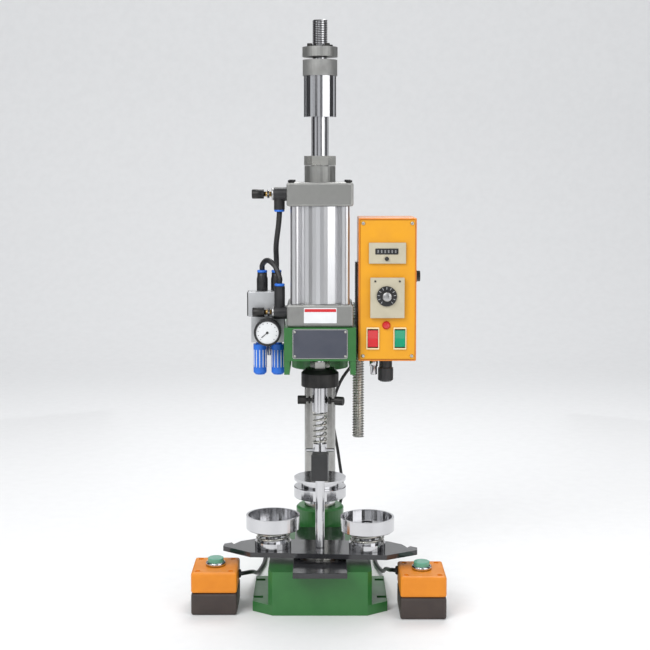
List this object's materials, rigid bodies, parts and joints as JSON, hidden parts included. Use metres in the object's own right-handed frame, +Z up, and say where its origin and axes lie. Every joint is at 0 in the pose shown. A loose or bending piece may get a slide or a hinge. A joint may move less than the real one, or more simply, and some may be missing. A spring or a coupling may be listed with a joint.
{
  "type": "button badge maker",
  "caption": "Pneumatic button badge press with a round column, air cylinder, two-station die turntable, timer control box and two-hand push buttons.",
  "frame": {"origin": "point on the bench under the ram's axis, on the flat underside of the base casting", "axes": "+X to the operator's right (control box side), +Y away from the operator, +Z up along the ram"},
  "size_m": [0.355, 0.34, 0.8344],
  "materials": {
    "green_paint": "glossy machine enamel",
    "black_plate": "gloss black",
    "chrome": "polished",
    "satin_aluminium": "satin cast and machined",
    "zinc": "plated, machined",
    "black_oxide": "black oxide",
    "orange_shell": "orange enamel",
    "orange_plastic": "moulded",
    "yellow_panel": "printed face plate, unlettered",
    "grey_plastic": "moulded",
    "black_plastic": "moulded",
    "dark_brown_plastic": "moulded",
    "red_plastic": "translucent key",
    "green_plastic": "gloss",
    "blue_plastic": "moulded",
    "white_body": "silver grey",
    "tube_black": "smooth"
  },
  "bodies": {
    "frame": {"air_tube_bottom": "tube_black", "air_tube_top": "tube_black", "base_casting": "green_paint", "column": "chrome", "column_socket": "green_paint", "control_box": "orange_shell", "control_cable": "tube_black", "control_panel": "yellow_panel", "counter": "grey_plastic", "cylinder_barrel": "satin_aluminium", "cylinder_bottom_cap": "satin_aluminium", "cylinder_top_cap": "satin_aluminium", "hand_box_left_base": "dark_brown_plastic", "hand_box_left_cover": "orange_plastic", "hand_box_right_base": "dark_brown_plastic", "hand_box_right_cover": "orange_plastic", "hand_cable_left": "tube_black", "hand_cable_right": "tube_black", "head_casting": "green_paint", "lead_screw": "zinc", "lower_plate": "black_plate", "muffler_left": "blue_plastic", "muffler_right": "blue_plastic", "panel_bracket": "black_plate", "power_lamp": "red_plastic", "pressure_gauge": "black_plastic", "rod_gland_nut": "zinc", "speed_control_bottom": "black_plastic", "speed_control_top": "black_plastic", "timer": "grey_plastic", "turntable_bearing": "zinc", "valve_body": "white_body", "valve_manifold": "white_body"},
    "ram": {"piston_rod": "chrome", "stroke_sleeve": "chrome", "stroke_collar": "satin_aluminium", "stroke_flange": "satin_aluminium", "ram_locknut": "zinc", "ram_collar": "black_oxide", "die_holder": "chrome", "thumb_screw_left": "black_oxide", "thumb_screw_right": "black_oxide", "die_spring": "zinc"},
    "upper_die": {"upper_die_shaft": "chrome", "upper_die_plate": "chrome", "upper_die_ring": "chrome"},
    "turntable": {"turntable": "black_plate", "handle_post": "chrome", "handle_grip": "black_plastic", "die_base_left": "chrome", "die_base_right": "chrome"},
    "cup_left": {"die_cup_left": "chrome"},
    "cup_right": {"die_cup_right": "chrome"},
    "button_left": {"button_left": "green_plastic"},
    "button_right": {"button_right": "green_plastic"},
    "timer_knob": {"timer_dial": "black_plastic"},
    "rocker_left": {"rocker_left": "red_plastic"},
    "rocker_right": {"rocker_right": "green_plastic"}
  },
  "joints": [
    {"name": "ram_slide", "type": "slide", "parent": "frame", "child": "ram", "axis": [0, 0, -1], "range_m": [0, 0.054]},
    {"name": "die_float", "type": "slide", "parent": "ram", "child": "upper_die", "axis": [0, 0, 1], "range_m": [0, 0.031], "stiffness_N_per_m": 800, "springref_m": -0.02, "deforming": ["die_spring"]},
    {"name": "turntable_turn", "type": "hinge", "parent": "frame", "child": "turntable", "pos_m": [0, -0.0675, 0.0775], "axis": [0, 0, 1], "range_deg": [-86, 94]},
    {"name": "cup_left_sink", "type": "slide", "parent": "turntable", "child": "cup_left", "axis": [0, 0, -1], "range_m": [0, 0.0125], "stiffness_N_per_m": 2000, "springref_m": -0.005},
    {"name": "cup_right_sink", "type": "slide", "parent": "turntable", "child": "cup_right", "axis": [0, 0, -1], "range_m": [0, 0.0125], "stiffness_N_per_m": 2000, "springref_m": -0.005},
    {"name": "hand_button_left", "type": "slide", "parent": "frame", "child": "button_left", "axis": [0, 0, -1], "range_m": [0, 0.003], "stiffness_N_per_m": 300, "springref_m": -0.002},
    {"name": "hand_button_right", "type": "slide", "parent": "frame", "child": "button_right", "axis": [0, 0, -1], "range_m": [0, 0.003], "stiffness_N_per_m": 300, "springref_m": -0.002},
    {"name": "timer_dial_turn", "type": "hinge", "parent": "frame", "child": "timer_knob", "pos_m": [0.0955, -0.05, 0.4396], "axis": [0, -1, 0], "range_deg": [-50, 230]},
    {"name": "rocker_left_tip", "type": "hinge", "parent": "frame", "child": "rocker_left", "pos_m": [0.07595, -0.0365, 0.378], "axis": [1, 0, 0], "range_deg": [0, 12]},
    {"name": "rocker_right_tip", "type": "hinge", "parent": "frame", "child": "rocker_right", "pos_m": [0.1149, -0.0365, 0.378], "axis": [1, 0, 0], "range_deg": [0, 12]}
  ]
}
